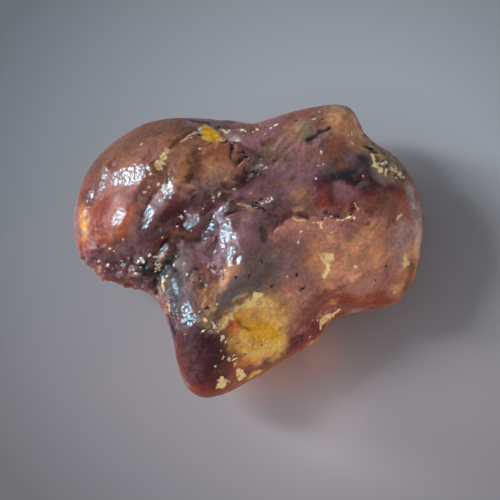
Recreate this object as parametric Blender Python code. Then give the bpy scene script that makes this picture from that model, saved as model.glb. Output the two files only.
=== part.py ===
"""A raw nugget of amber, modelled as the one natural solid that it is.

The nugget lies on its worn flat patch. +X runs along its longest extent, from the big left dome
to the broad right shoulder, +Y runs from the lower leg to the upper knob, and +Z is up. The origin
is the middle of its footprint, on the surface that it rests on.

A sphere of directions is mapped onto the stone in three steps: the plan outline and the heights of
its upper and lower faces give the body, named folds and hollows then move the surface along its
normals, and a fine undulation finishes the water-worn skin.
"""

import math

import bmesh
import bpy
import numpy as np
from mathutils import Vector, noise

MM = 0.001

# Widest contour of the stone seen from above, anticlockwise from the right shoulder, x and y in mm.
OUTLINE = [
    (19.0, 0.0),
    (19.4, 3.0),
    (19.0, 5.6),
    (18.0, 8.2),
    (16.8, 10.3),
    (15.0, 12.0),
    (13.2, 13.3),
    (12.6, 14.5),
    (12.2, 15.8),
    (11.2, 16.7),
    (9.4, 16.9),
    (6.6, 16.5),
    (3.4, 15.5),
    (0.8, 14.6),
    (-0.9, 14.6),
    (-3.4, 15.1),
    (-7.6, 15.4),
    (-11.6, 14.7),
    (-15.5, 12.3),
    (-18.3, 8.4),
    (-19.2, 3.8),
    (-18.8, 0.0),
    (-17.6, -1.8),
    (-15.2, -3.4),
    (-12.7, -4.0),
    (-11.0, -4.7),
    (-9.7, -6.6),
    (-8.5, -9.2),
    (-8.1, -11.8),
    (-7.5, -14.1),
    (-6.2, -15.7),
    (-4.2, -16.1),
    (-1.7, -15.1),
    (1.6, -13.2),
    (4.9, -11.3),
    (7.5, -9.4),
    (9.0, -7.3),
    (11.0, -6.2),
    (13.8, -6.0),
    (16.5, -5.2),
    (18.2, -2.8),
]
CURVE_STEPS = 12  # points read from the outline's curve between two of the points above
SMOOTH_WAVES = 3  # waves round the stone that its crown still follows

# The body, in mm: height of the widest contour, of the crown's envelope and of the underside's.
RIM_HEIGHT = 6.4
RIM_TILT = 1.1  # how much higher the contour runs on the side that RIM_TILT_TOWARDS faces
RIM_TILT_TOWARDS = math.radians(150)
RIM_WAVE = 0.8  # a gentle up and down, twice round the stone
CROWN_HEIGHT = 11.4
UNDERSIDE_HEIGHT = -0.6  # below the resting plane, which cuts the worn flat patch
PLAN_FULLNESS = 0.24  # over 0 keeps the stone wide above and below its widest contour
HEIGHT_FULLNESS = 0.08

# Broad swells of the crown: name, centre x and y, reach, height, all in mm.
CROWN_SWELLS = [
    ("left_dome", -11.8, 7.0, 6.8, 4.8),
    ("orange_lobe", -13.8, 0.8, 3.4, 3.0),
    ("inner_dome", -5.2, 7.8, 3.8, 2.2),
    ("central_hump", -0.6, -1.0, 5.4, 2.6),
    ("right_shoulder", 11.0, 3.0, 7.5, 1.6),
    ("upper_knob", 9.5, 13.0, 4.5, 1.8),
    ("leg", -5.4, -10.5, 4.4, 1.2),
    ("yellow_dish", 1.8, -9.0, 3.4, -1.2),
    ("right_edge", 18.0, -3.0, 4.5, -1.2),
]
# Hollows that lift the underside off the surface, the same way.
UNDERSIDE_HOLLOWS = [
    ("under_dome", -14.5, 6.0, 6.0, 2.4),
    ("under_leg", -6.0, -14.0, 5.5, 2.6),
    ("under_shoulder", 15.0, 6.0, 6.5, 2.2),
    ("under_knob", 7.0, 14.0, 5.5, 2.4),
    ("under_right_edge", 15.0, -4.5, 5.0, 1.6),
    ("under_notch", -10.0, -4.0, 4.0, 1.2),
]

# Folds (+) and grooves (-) of the crown: name, the line they follow in plan, width, height, in mm.
CROWN_FOLDS = [
    ("main_groove", [(-15.5, -4.0), (-12.6, -1.2), (-8.8, 2.0), (-3.4, 4.8), (-1.2, 7.0)], 1.3, -0.9),
    ("groove_fan", [(-0.6, 7.6), (2.2, 11.0), (0.6, 15.5)], 1.3, -0.3),
    ("flow_ridge", [(-8.0, 0.3), (-4.9, 1.2), (-2.0, 3.4), (1.6, 6.8)], 0.9, 0.4),
    ("under_ridge", [(-7.5, -0.8), (-5.2, -1.1), (-3.6, 0.0), (-1.8, 2.0)], 0.9, -0.4),
    ("central_bank", [(-1.6, -4.8), (-0.8, -1.8), (0.6, 1.2)], 1.7, 0.6),
    ("dome_crease", [(-9.6, 6.3), (-10.4, 3.4), (-11.2, 1.0), (-13.2, -1.2)], 1.0, -0.6),
    ("lobe_crease", [(-16.4, 4.3), (-13.2, 3.8), (-10.9, 4.2)], 1.1, -0.5),
    ("flow_lip", [(-10.2, 6.0), (-8.6, 8.6), (-6.0, 11.0), (-2.7, 12.9)], 0.9, -0.35),
    ("hump_crease", [(-1.6, 12.2), (-1.2, 9.4), (-2.2, 6.6)], 1.1, -0.35),
    ("notch_crease", [(-12.2, -7.0), (-9.4, -3.4), (-7.6, -2.0)], 1.1, -0.8),
    ("leg_ridge", [(-5.4, -6.0), (-5.4, -11.0), (-5.0, -14.6)], 1.8, 0.4),
    ("leg_groove", [(-2.0, -11.0), (-0.4, -15.5)], 1.3, -0.5),
    ("layer_edge", [(1.3, 0.7), (3.4, 2.3), (9.0, 2.2), (16.3, 3.8)], 0.9, -0.45),
    ("knob_crack", [(5.6, 10.8), (8.8, 12.8)], 0.9, -0.5),
    ("knob_saddle", [(8.6, 8.6), (12.4, 11.4), (14.6, 14.4)], 1.6, -0.9),
    ("edge_chip", [(5.2, -10.0), (8.0, -7.8)], 1.1, -0.6),
    ("right_saddle", [(8.4, -5.6), (9.4, -9.4)], 1.6, -0.7),
]
FLANK_NORMAL = (0.0, 0.5)  # upward parts of the normal between which the folds fade in

# The water-worn skin's undulation: wavelength and height of each octave, in mm.
UNDULATIONS = [(7.0, 0.36), (2.8, 0.14)]
NOISE_ORIGIN = Vector((3.7, 1.9, 8.3))

SPHERE_SUBDIVISIONS = 5  # 5,120 triangles


def closed_curve(points, steps):
    """Points along the closed Catmull-Rom curve through the given points."""
    here = np.array(points)
    before, after, beyond = np.roll(here, 1, 0), np.roll(here, -1, 0), np.roll(here, -2, 0)
    rows = []
    for t in np.arange(steps) / steps:
        rows.append(
            0.5
            * (
                2 * here
                + (after - before) * t
                + (2 * before - 5 * here + 4 * after - beyond) * t**2
                + (3 * here - before - 3 * after + beyond) * t**3
            )
        )
    return np.stack(rows, 1).reshape(-1, 2)


def polar_outline():
    """The outline as radii at evenly spaced angles, and the same with only its broad waves."""
    curve = closed_curve(OUTLINE, CURVE_STEPS)
    angles = np.arctan2(curve[:, 1], curve[:, 0])
    order = np.argsort(angles)
    even = np.linspace(-math.pi, math.pi, 720, endpoint=False)
    radii = np.interp(even, angles[order], np.hypot(*curve.T)[order], period=2 * math.pi)
    waves = np.fft.rfft(radii)
    waves[SMOOTH_WAVES + 1 :] = 0
    return even, radii, np.fft.irfft(waves, len(radii))


def smooth_step(low, high, values):
    t = np.clip((values - low) / (high - low), 0, 1)
    return t * t * (3 - 2 * t)


def fuller(fraction, fullness):
    """A fraction of the way out from the middle, pushed outwards but still ending at 1."""
    return fraction * (1 + fullness * (1 - fraction**2))


def envelope(base, swells, x, y):
    """The height of a face over the plan: a base height with Gaussian swells on it."""
    height = np.full(len(x), float(base))
    for _, at_x, at_y, reach, rise in swells:
        height += rise * np.exp(-((x - at_x) ** 2 + (y - at_y) ** 2) / reach**2)
    return height


def body_form(directions):
    """Each unit direction's point on the body, in mm."""
    even, radii, broad = polar_outline()
    angle = np.arctan2(directions[:, 1], directions[:, 0])
    level = np.clip(np.hypot(directions[:, 0], directions[:, 1]), 0, 1)
    rise = np.clip(directions[:, 2], -1, 1)
    follow = smooth_step(0.3, 0.95, level)
    outline = np.interp(angle, even, radii, period=2 * math.pi)
    crown_line = np.interp(angle, even, broad, period=2 * math.pi)
    reach = fuller(level, PLAN_FULLNESS) * (follow * outline + (1 - follow) * crown_line)
    x, y = reach * np.cos(angle), reach * np.sin(angle)
    rim = RIM_HEIGHT + RIM_TILT * np.cos(angle - RIM_TILT_TOWARDS) + RIM_WAVE * np.sin(2 * angle)
    crown = envelope(CROWN_HEIGHT, CROWN_SWELLS, x, y)
    underside = envelope(UNDERSIDE_HEIGHT, UNDERSIDE_HOLLOWS, x, y)
    lift = fuller(rise, HEIGHT_FULLNESS)
    z = rim + (crown - rim) * np.maximum(lift, 0) + (rim - underside) * np.minimum(lift, 0)
    return np.stack([x, y, z], 1)


def distance_to_line(x, y, line):
    """Plan distance from each point to a polyline."""
    nearest = np.full(len(x), np.inf)
    for (ax, ay), (bx, by) in zip(line, line[1:]):
        dx, dy = bx - ax, by - ay
        t = np.clip(((x - ax) * dx + (y - ay) * dy) / (dx * dx + dy * dy), 0, 1)
        nearest = np.minimum(nearest, np.hypot(x - ax - t * dx, y - ay - t * dy))
    return nearest


def fold_heights(points, normals):
    """How far each point of the crown moves along its normal, for all the folds and grooves."""
    on_crown = smooth_step(*FLANK_NORMAL, normals[:, 2])
    moved = np.zeros(len(points))
    for _, line, width, height in CROWN_FOLDS:
        away = distance_to_line(points[:, 0], points[:, 1], line)
        moved += height * np.exp(-((away / width) ** 2))
    return moved * on_crown


def undulation(points):
    """The fine rise and fall of the skin at each point."""
    moved = np.zeros(len(points))
    for wavelength, height in UNDULATIONS:
        moved += height * np.array([noise.noise(Vector(p) / wavelength + NOISE_ORIGIN) for p in points])
    return moved


def points_of(bm):
    return np.array([v.co for v in bm.verts])


def place(bm, points):
    for vertex, point in zip(bm.verts, points):
        vertex.co = point
    bm.normal_update()


def amber_mesh():
    """The nugget's mesh in metres, centred over its footprint and standing on its flat patch."""
    bm = bmesh.new()
    bmesh.ops.create_icosphere(bm, subdivisions=SPHERE_SUBDIVISIONS, radius=1)
    directions = points_of(bm)
    points = body_form(directions)
    place(bm, points)
    normals = np.array([v.normal for v in bm.verts])
    moved = fold_heights(points, normals) + undulation(points)
    points = points + normals * moved[:, None]
    points[:, 2] = np.maximum(points[:, 2], 0)
    points[:, :2] -= (points[:, :2].min(0) + points[:, :2].max(0)) / 2
    place(bm, points * MM)
    mesh = bpy.data.meshes.new("amber_nugget")
    bm.to_mesh(mesh)
    bm.free()
    mesh.shade_smooth()
    return mesh


def amber_material():
    """Red-brown, glossy, partly see-through fossil resin."""
    material = bpy.data.materials.new("amber")
    material.use_nodes = True
    shader = material.node_tree.nodes["Principled BSDF"]
    shader.inputs["Base Color"].default_value = (0.42, 0.16, 0.07, 1)
    shader.inputs["Metallic"].default_value = 0
    shader.inputs["Roughness"].default_value = 0.22
    shader.inputs["IOR"].default_value = 1.54
    shader.inputs["Transmission Weight"].default_value = 0.6
    return material


def main():
    for obj in list(bpy.data.objects):
        bpy.data.objects.remove(obj)
    collection = bpy.data.collections.new("raw_amber_piece")
    bpy.context.scene.collection.children.link(collection)
    nugget = bpy.data.objects.new("amber_nugget", amber_mesh())
    nugget.data.materials.append(amber_material())
    collection.objects.link(nugget)


main()
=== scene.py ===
"""The looks of a raw piece of amber: its carved skin, its see-through body and what is sealed in it.

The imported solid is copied, evened out and carved with the folds, edges, grain and pits that the
photograph shows. Its colours are painted on its points from named lines and patches, with masks for
the gloss, the flakes and the specks stored beside them, and the material puts these together. Flakes,
debris and bubbles are sealed under the skin as pieces of their own.
"""

import math

import bmesh
import bpy
import numpy as np
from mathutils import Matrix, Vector, noise
from mathutils.bvhtree import BVHTree


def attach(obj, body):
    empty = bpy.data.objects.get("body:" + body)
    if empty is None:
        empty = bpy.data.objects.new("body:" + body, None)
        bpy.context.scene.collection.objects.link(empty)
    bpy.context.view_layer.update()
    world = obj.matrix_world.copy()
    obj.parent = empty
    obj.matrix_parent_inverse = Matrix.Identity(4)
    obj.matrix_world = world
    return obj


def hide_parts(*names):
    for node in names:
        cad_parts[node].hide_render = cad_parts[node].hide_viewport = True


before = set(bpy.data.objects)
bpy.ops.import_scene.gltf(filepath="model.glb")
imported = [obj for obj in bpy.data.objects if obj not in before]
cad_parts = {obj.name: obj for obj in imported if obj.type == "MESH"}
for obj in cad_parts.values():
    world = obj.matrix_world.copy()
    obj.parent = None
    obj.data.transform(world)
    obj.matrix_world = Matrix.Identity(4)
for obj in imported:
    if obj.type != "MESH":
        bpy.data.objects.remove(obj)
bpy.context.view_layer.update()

NODE = "amber_nugget"
BODY = "root"
MM = 0.001

# The photograph's view: from in front and high above, close up.
FRAME_PX = 500
CAMERA_ELEVATION = math.radians(75)
CAMERA_DISTANCE = 0.153
CAMERA_LENS_MM = 100.0
CAMERA_SENSOR_MM = 36.0
CAMERA_CLIP = 0.01
LOOK_AT = Vector((0.0, -0.0001, 0.0064))
BACKWARD = Vector((0.0, -math.cos(CAMERA_ELEVATION), math.sin(CAMERA_ELEVATION)))
CAMERA_TURN = BACKWARD.to_track_quat("Z", "Y")

# Soft lights: the direction that they come from, their sides in m, their power and their colour.
WINDOW = (Vector((-0.85, 0.24, 0.42)).normalized(), (0.12, 0.46), 7.5, (0.88, 0.94, 1.0))
CARD = (Vector((-0.82, -0.06, 0.56)).normalized(), (0.26, 0.40), 9.5, (0.47, 0.82, 1.0))
FILL = (Vector((0.5, -0.8, 0.3)).normalized(), (0.4, 0.3), 2.0, (1.0, 0.84, 0.7))
LIGHT_DISTANCE = 0.7


def add_object(name, data):
    obj = bpy.data.objects.new(name, data)
    bpy.context.scene.collection.objects.link(obj)
    return obj


def add_camera():
    data = bpy.data.cameras.new("camera")
    data.lens = CAMERA_LENS_MM
    data.sensor_width = CAMERA_SENSOR_MM
    data.clip_start = CAMERA_CLIP
    camera = add_object("camera", data)
    camera.location = LOOK_AT + BACKWARD * CAMERA_DISTANCE
    camera.rotation_euler = CAMERA_TURN.to_euler()
    bpy.context.scene.camera = camera


def pixel_ray(px, py):
    """Start, in mm, and direction of the sight line through a pixel of the photograph."""
    across = (px / FRAME_PX - 0.5) * CAMERA_SENSOR_MM
    up = (0.5 - py / FRAME_PX) * CAMERA_SENSOR_MM
    direction = CAMERA_TURN @ Vector((across, up, -CAMERA_LENS_MM))
    return (LOOK_AT + BACKWARD * CAMERA_DISTANCE) / MM, direction.normalized()


# ---- mesh and noise helpers, all in mm


def modified(mesh, *modifiers):
    """A new mesh: the given one with modifiers applied, each a type and its settings."""
    obj = add_object("work", mesh)
    for kind, settings in modifiers:
        modifier = obj.modifiers.new(kind, kind)
        for key, value in settings.items():
            setattr(modifier, key, value)
    evaluated = obj.evaluated_get(bpy.context.evaluated_depsgraph_get())
    result = bpy.data.meshes.new_from_object(evaluated)
    bpy.data.objects.remove(obj)
    return result


def read(rows, key):
    flat = np.empty(len(rows) * 3)
    rows.foreach_get(key, flat)
    return flat.reshape(-1, 3)


def read_points(mesh):
    return read(mesh.vertices, "co")


def read_normals(mesh):
    return read(mesh.vertex_normals, "vector")


def write_points(mesh, points):
    mesh.vertices.foreach_set("co", points.ravel())
    mesh.update()


def store(mesh, name, values):
    mesh.attributes.new(name, "FLOAT", "POINT").data.foreach_set("value", values)


def tree_of(mesh):
    faces = [tuple(p.vertices) for p in mesh.polygons]
    return BVHTree.FromPolygons([v.co for v in mesh.vertices], faces)


def smooth_step(low, high, values):
    t = np.clip((values - low) / (high - low), 0, 1)
    return t * t * (3 - 2 * t)


def within(reach, softness, away):
    """1 well within the reach and 0 well beyond it, with a soft edge."""
    return smooth_step(reach * (1 + softness), reach * (1 - softness), away)


def waves(points, size, seed):
    """Smooth noise from -1 to 1 at each point, with bumps of about the given size."""
    shift = Vector((seed * 17.3, seed * 5.1, seed * 9.7))
    return np.array([noise.noise(Vector(p) + shift) for p in points / size])


def rough(points, rows):
    """Noise summed from rows of a height, a size and a seed."""
    return sum(height * waves(points, size, seed) for height, size, seed in rows)


def drift(points, height, size, seed):
    """Smooth noise in three directions at each point."""
    return height * np.stack([waves(points, size, seed + axis) for axis in range(3)], 1)


def grains(points, size, seed):
    """Cell noise: 0 at the middle of each grain, rising to about 1 at its edge."""
    shift = Vector((seed * 3.1, seed * 7.7, seed * 1.9))
    return np.array([noise.voronoi(Vector(p) + shift)[0][0] for p in points / size])


def along_line(points, line):
    """Each point's distance to a line, its side of it (+1 is the left, seen from above), and how
    far along the line its nearest point is, from 0 to 1."""
    best = np.full(len(points), np.inf)
    side = np.ones(len(points))
    along = np.zeros(len(points))
    count = len(line) - 1
    for i, (a, b) in enumerate(zip(line, line[1:])):
        ab = b - a
        ap = points - a
        t = np.clip(ap @ ab / (ab @ ab), 0, 1)
        away = np.linalg.norm(ap - t[:, None] * ab, axis=1)
        nearer = away < best
        best[nearer] = away[nearer]
        side[nearer] = np.sign(ab[0] * ap[nearer, 1] - ab[1] * ap[nearer, 0])
        along[nearer] = (i + t[nearer]) / count
    return best, side, along


class Places:
    """Finds places on the evened-out body from the pixels where the photograph shows them. A line's
    pixels are given as x, y, x, y and so on, here and in all the tables below."""

    def __init__(self, mesh):
        self.tree = tree_of(mesh)

    def at(self, px, py):
        start, direction = pixel_ray(px, py)
        hit = self.tree.ray_cast(start, direction)[0]
        if hit is None:
            hit = self.tree.find_nearest(start + direction * start.length)[0]
        return np.array(hit)

    def line(self, numbers, step_px=6):
        """A line over the surface through the given pixels."""
        pixels = list(zip(numbers[::2], numbers[1::2]))
        found = []
        for (ax, ay), (bx, by) in zip(pixels, pixels[1:]):
            count = max(1, round(math.hypot(bx - ax, by - ay) / step_px))
            for i in range(count):
                t = i / count
                found.append(self.at(ax + (bx - ax) * t, ay + (by - ay) * t))
        found.append(self.at(*pixels[-1]))
        return np.array(found)

    def away(self, points, pixels, step_px=6):
        """Each point's distance to the line through the pixels."""
        return along_line(points, self.line(pixels, step_px))[0]


# ---- the carved skin, all in mm
# Each relief: its half width, its height, which is under 0 in a groove, and the line's pixels.
CREASES = {
    "main groove": (0.7, -0.22, 108, 276, 128, 258, 150, 232, 172, 214, 196, 203, 222, 190),
    "groove upper end": (0.4, -0.12, 222, 190, 234, 181, 246, 177),
    "streak ridge": (0.28, 0.1, 200, 232, 207, 228, 217, 217, 229, 204),
    "under streak": (0.3, -0.2, 176, 240, 200, 240, 214, 232, 231, 212, 246, 196),
    "over streak": (0.3, -0.1, 186, 230, 205, 214, 226, 196),
    "dome crease": (0.3, -0.12, 155, 172, 146, 184, 139, 196, 134, 214, 127, 232, 112, 250),
    "lobe crease": (0.5, -0.12, 98, 198, 118, 194, 138, 196),
    "flow lip": (0.25, -0.16, 157, 173, 162, 160, 171, 147, 184, 137, 200, 130, 222, 128, 246, 127),
    "hump slit": (0.3, -0.3, 229, 140, 233, 153, 232, 166),
    "notch crease": (0.4, -0.35, 150, 292, 156, 278, 168, 264, 186, 254),
    "notch wall": (0.3, -0.25, 166, 320, 160, 303, 154, 290),
    "leg rib": (0.25, 0.15, 161, 279, 166, 296, 171, 312),
    "edge groove": (0.3, -0.25, 335, 318, 341, 315, 347, 312),
    "black slot": (0.18, -0.1, 307, 139, 316, 133, 329, 128),
    "layer crack": (0.25, -0.2, 274, 230, 282, 219, 292, 213, 306, 216),
    "dome line": (0.18, -0.16, 267, 166, 274, 160, 281, 154),
    "far line": (0.15, -0.12, 290, 179, 302, 175),
    "pit by flake": (0.3, -0.3, 370, 149, 375, 151),
}
# Edges of flow layers: the left of the line, followed in order, stands higher by the height.
STEPS = {
    "right layer": (0.14, -0.28, 270, 236, 276, 228, 283, 217, 294, 213, 308, 217, 326, 218, 342, 219,
                    357, 210),
    "vein edge": (0.15, 0.1, 325, 232, 334, 246, 331, 262, 324, 280),
    "rim band": (0.2, 0.15, 150, 172, 162, 160, 171, 147, 184, 137, 200, 130),
    "mauve pad": (0.2, -0.12, 176, 240, 196, 241, 212, 233, 218, 216),
    "sheen facet": (0.25, -0.14, 404, 186, 412, 214, 413, 240, 408, 268),
    "window lip": (0.2, -0.14, 244, 342, 258, 350, 270, 348, 284, 340),
}
STEP_REACH = 2.2  # how far a step's height takes to die out on its high side
CREASE_END, STEP_END = 0.12, 0.1  # the part of its length that each takes to fade in and out
CREASE_LEAST = 0.3  # what is left of a crease at its very ends
# Below, noise is given as its height, size and seed, or in rows of these for rough().
RAGGED = ((0.5, 1.1, 1), (0.3, 0.45, 2))
CREASE_RAGGED, STEP_RAGGED = 0.5, 0.25  # how much of it changes a crease's depth and a step's line
LINE_SWAY = (0.22, 0.8, 50)


def faded(along, end):
    """0 at both ends of a line, rising to 1 within the given part of its length."""
    return smooth_step(0, end, along) * smooth_step(1, 1 - end, along)


def carve(points, places):
    """How far the creases and the steps move each point along its normal."""
    moved = np.zeros(len(points))
    ragged = rough(points, RAGGED)
    points = points + drift(points, *LINE_SWAY)
    for width, height, *pixels in CREASES.values():
        away, _, along = along_line(points, places.line(pixels))
        ends = faded(along, CREASE_END) * (1 - CREASE_LEAST) + CREASE_LEAST
        moved += height * ends * (1 + CREASE_RAGGED * ragged) * np.exp(-((away / width) ** 2))
    for width, height, *pixels in STEPS.values():
        away, side, along = along_line(points, places.line(pixels))
        signed = away * side + STEP_RAGGED * ragged
        fall = np.exp(-np.maximum(signed, 0) / STEP_REACH)
        moved += height * faded(along, STEP_END) * smooth_step(-width, width, signed) * fall
    return moved


# Small facets that face halfway between the camera and the reflection card, so that they mirror it:
# pixel, the turn of the long side up from the picture's right in degrees, half length, half width
# and how glossy it is.
FACETS = [
    (129, 175, 8, 2.3, 0.95, 1.0), (104, 178, 82, 1.35, 0.4, 0.5), (119, 217, 60, 1.0, 0.55, 0.75),
    (90, 197, 80, 0.6, 0.35, 0.7), (86, 211, 76, 0.5, 0.3, 0.4), (164, 194, 42, 1.3, 0.85, 0.8),
    (155, 205, 56, 1.0, 0.7, 0.8), (147, 217, 66, 1.3, 0.7, 0.9), (193, 221, 30, 1.0, 0.6, 0.75),
    (217, 218, 47, 2.2, 0.5, 1.0), (226, 235, 98, 1.8, 0.85, 0.85), (231, 256, 100, 0.9, 0.55, 0.75),
    (239, 261, 70, 0.4, 0.35, 1.0), (187, 315, -60, 1.05, 0.7, 0.7), (175, 287, -62, 0.7, 0.25, 0.35),
    (162, 253, 52, 1.2, 0.4, 0.35), (257, 167, 70, 0.7, 0.4, 1.0), (246, 166, 60, 0.9, 0.28, 1.0),
    (240, 160, 85, 0.6, 0.22, 1.0), (228, 149, 60, 0.6, 0.4, 0.6),
]
FACET_RADIUS = 14.0  # the radius of the ball that each is a part of
FACET_SQUARE = 3  # how square they are: 2 is an ellipse
FACET_LEVEL = (1.7, 1.0)  # where the levelling begins and is whole, in a facet's own size
FACET_WET = (1.3, 1.05)  # the same for the gloss
FACET_RAGGED = ((0.28, 0.9, 9), (0.22, 0.4, 10))
# Terraces that face up and away from the window, so that they stay dull between the facets:
# pixel, turn, half length and half width as above, and how far each is sunk.
TERRACES = [
    (198, 253, 60, 2.0, 1.5, 0.22), (204, 288, 70, 1.7, 1.3, 0.12), (168, 250, 50, 1.0, 0.8, 0.2),
    (216, 166, 40, 2.6, 1.7, -0.2),
]
TERRACE_NORMAL = Vector((0.0, -0.05, 1.0)).normalized()
# Lines through the matt crust: its half width and the pixels.
DULL = [
    (2.2, 170, 258, 180, 276, 186, 296), (2.2, 182, 330, 190, 350, 196, 372),
    (1.4, 132, 262, 150, 240, 168, 222), (1.2, 150, 236, 170, 214, 200, 203, 236, 188),
    (1.6, 172, 262, 182, 276), (2.2, 196, 242, 204, 262, 210, 290), (3.0, 230, 280, 250, 300, 236, 320),
    (0.9, 110, 193, 124, 192, 140, 190), (1.2, 162, 262, 168, 284, 176, 304),
]
DULL_EDGE = 0.3
BASE_GLOSS = 0.18
DULL_GLOSS = 0.03
CRUST_GLOSS = 0.3


def facets(points, places):
    """The points after the terraces and facets have levelled the skin, and how glossy and how
    smooth each is."""
    toward_card = (CARD[0] + BACKWARD).normalized()
    flats = [(*terrace, TERRACE_NORMAL, 0.0) for terrace in TERRACES]
    flats += [(*facet[:5], 0.0, toward_card, facet[5]) for facet in FACETS]
    ragged = rough(points, FACET_RAGGED)
    gloss = np.full(len(points), BASE_GLOSS)
    smooth = np.zeros(len(points))
    for reach, *pixels in DULL:
        matt = within(reach, DULL_EDGE, places.away(points, pixels) + ragged)
        gloss = gloss * (1 - matt) + DULL_GLOSS * matt
    for px, py, turn, length, width, sunk, normal, wet in flats:
        toward = np.array(normal)
        across = np.array([1.0, 0.0, 0.0]) - toward * toward[0]
        across /= np.linalg.norm(across)
        up = np.cross(toward, across)
        offset = points - places.at(px, py)
        cos, sin = math.cos(math.radians(turn)), math.sin(math.radians(turn))
        a = offset @ (across * cos + up * sin)
        b = offset @ (up * cos - across * sin)
        height = offset @ toward
        parts = (a / length, b / width, height / (2 * length))
        reach = sum(np.abs(part) ** FACET_SQUARE for part in parts) ** (1 / FACET_SQUARE) + ragged
        level = -sunk - (a * a + b * b) / (2 * FACET_RADIUS)
        points = points + toward * ((level - height) * smooth_step(*FACET_LEVEL, reach))[:, None]
        if wet:
            shown = smooth_step(*FACET_WET, reach)
            gloss = gloss * (1 - shown) + wet * shown
            smooth = np.maximum(smooth, shown)
    return points, gloss, smooth


FLOW_TURN = math.radians(47)  # the way the resin flowed, seen from above
STRIAE_PATH = (120, 268, 160, 232, 200, 212, 250, 172, 285, 150)
STRIAE_REACH = 2.6
STRIAE_SIZE = (5.0, 0.75, 6.0)  # along the flow, across it and up
STRIAE_HEIGHT, STRIAE_SEED = 0.1, 3
RIDGED = (0.4, 2)  # turns smooth noise into sharp ridges: their top, and how fast they fall
STRIAE_FADE = 0.3  # the part of the reach within which the striae are whole


def striae(points, places):
    """Fine parallel ridges that run along the main groove."""
    u = points[:, 0] * math.cos(FLOW_TURN) + points[:, 1] * math.sin(FLOW_TURN)
    v = points[:, 1] * math.cos(FLOW_TURN) - points[:, 0] * math.sin(FLOW_TURN)
    drawn = np.stack([u, v, points[:, 2]], 1) / STRIAE_SIZE
    ridged = RIDGED[0] - RIDGED[1] * np.abs(waves(drawn, 1.0, STRIAE_SEED))
    near = smooth_step(STRIAE_REACH, STRIAE_REACH * STRIAE_FADE, places.away(points, STRIAE_PATH))
    return STRIAE_HEIGHT * ridged * near


# The crumbled crust: its half width, its strength and the pixels.
CRUST = [
    (1.6, 2.4, 88, 262, 104, 277, 128, 285, 150, 288),
    (2.6, 1.5, 90, 262, 112, 272, 135, 275, 152, 276), (1.5, 1.2, 150, 272, 166, 296, 176, 320),
    (1.6, 1.0, 372, 136, 392, 156), (1.3, 0.8, 184, 220, 210, 204, 236, 184, 262, 162),
    (1.8, 0.6, 192, 270, 212, 272, 206, 300), (1.2, 0.4, 238, 296, 262, 292, 284, 300),
]
CRUST_NOISE = ((0.22, 0.8, 4), (0.12, 0.42, 5))
GRAIN = (0.1, 0.9, 6)
CRUST_FADE = 0.35  # the part of the reach within which the crust is whole


def crust(points, places):
    """How far the rough, granular places move each point, and how strong the crust is there."""
    mask = np.zeros(len(points))
    for reach, strength, *pixels in CRUST:
        near = smooth_step(reach, reach * CRUST_FADE, places.away(points, pixels))
        mask = np.maximum(mask, strength * near)
    height, size, seed = GRAIN
    grain = height * (0.5 - grains(points, size, seed))
    return (rough(points, CRUST_NOISE) + grain) * mask, mask


PITS = 90
PIT_SEED = 11
PIT_RADII = (0.22, 0.5)
PIT_DEPTHS = (0.25, 0.5)  # in a pit's own radius


def pits(points):
    """Small hollows scattered over the skin."""
    random = np.random.default_rng(PIT_SEED)
    moved = np.zeros(len(points))
    for _ in range(PITS):
        centre = points[random.integers(len(points))]
        radius = random.uniform(*PIT_RADII)
        away = np.linalg.norm(points - centre, axis=1)
        moved -= radius * random.uniform(*PIT_DEPTHS) * np.exp(-((away / radius) ** 2))
    return moved


# Modifiers that even out the solid's surface, in mm.
EVENING = (
    ("WELD", {"merge_threshold": 0.001}),
    ("SUBSURF", {"levels": 2, "render_levels": 2}),
    ("REMESH", {"mode": "VOXEL", "voxel_size": 0.2, "use_smooth_shade": True}),
    ("SMOOTH", {"factor": 0.5, "iterations": 8}),
)
WAVE_WORN = ((0.06, 1.9, 7), (0.03, 0.75, 8))
REST_FADE = (0.05, 0.6)  # the heights between which the relief sets in above the rest face
FACET_CALM = 0.55  # how much of the relief the facets lose
STEEP = (0.05, 0.45)  # how far up or down the skin faces where it is steep and where it is not
STEEP_GLOSS = 0.4  # what is left of the gloss where it is steep


def carved_body():
    """The piece's skin as a mesh in mm, the places on it, and how far its relief moved each point."""
    source = bpy.data.objects[NODE].data.copy()
    write_points(source, read_points(source) / MM)
    even = modified(source, *EVENING)
    places = Places(even)
    points, normals = read_points(even), read_normals(even)
    grainy, crust_mask = crust(points, places)
    moved = carve(points, places) + striae(points, places) + grainy + pits(points)
    moved += rough(points, WAVE_WORN)
    above = smooth_step(*REST_FADE, points[:, 2])
    levelled, gloss, smooth = facets(points, places)
    points = levelled + normals * (moved * above * (1 - FACET_CALM * smooth))[:, None]
    points[:, 2] = np.maximum(points[:, 2], 0)
    write_points(even, points)
    glitter = np.clip(crust_mask, 0, 1)
    gentle = smooth_step(*STEEP, np.abs(read_normals(even)[:, 2]))
    gloss = np.maximum(gloss, CRUST_GLOSS * glitter)
    store(even, "gloss", gloss * (STEEP_GLOSS + (1 - STEEP_GLOSS) * gentle))
    store(even, "crumbled", glitter)
    return even, places, moved


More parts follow.
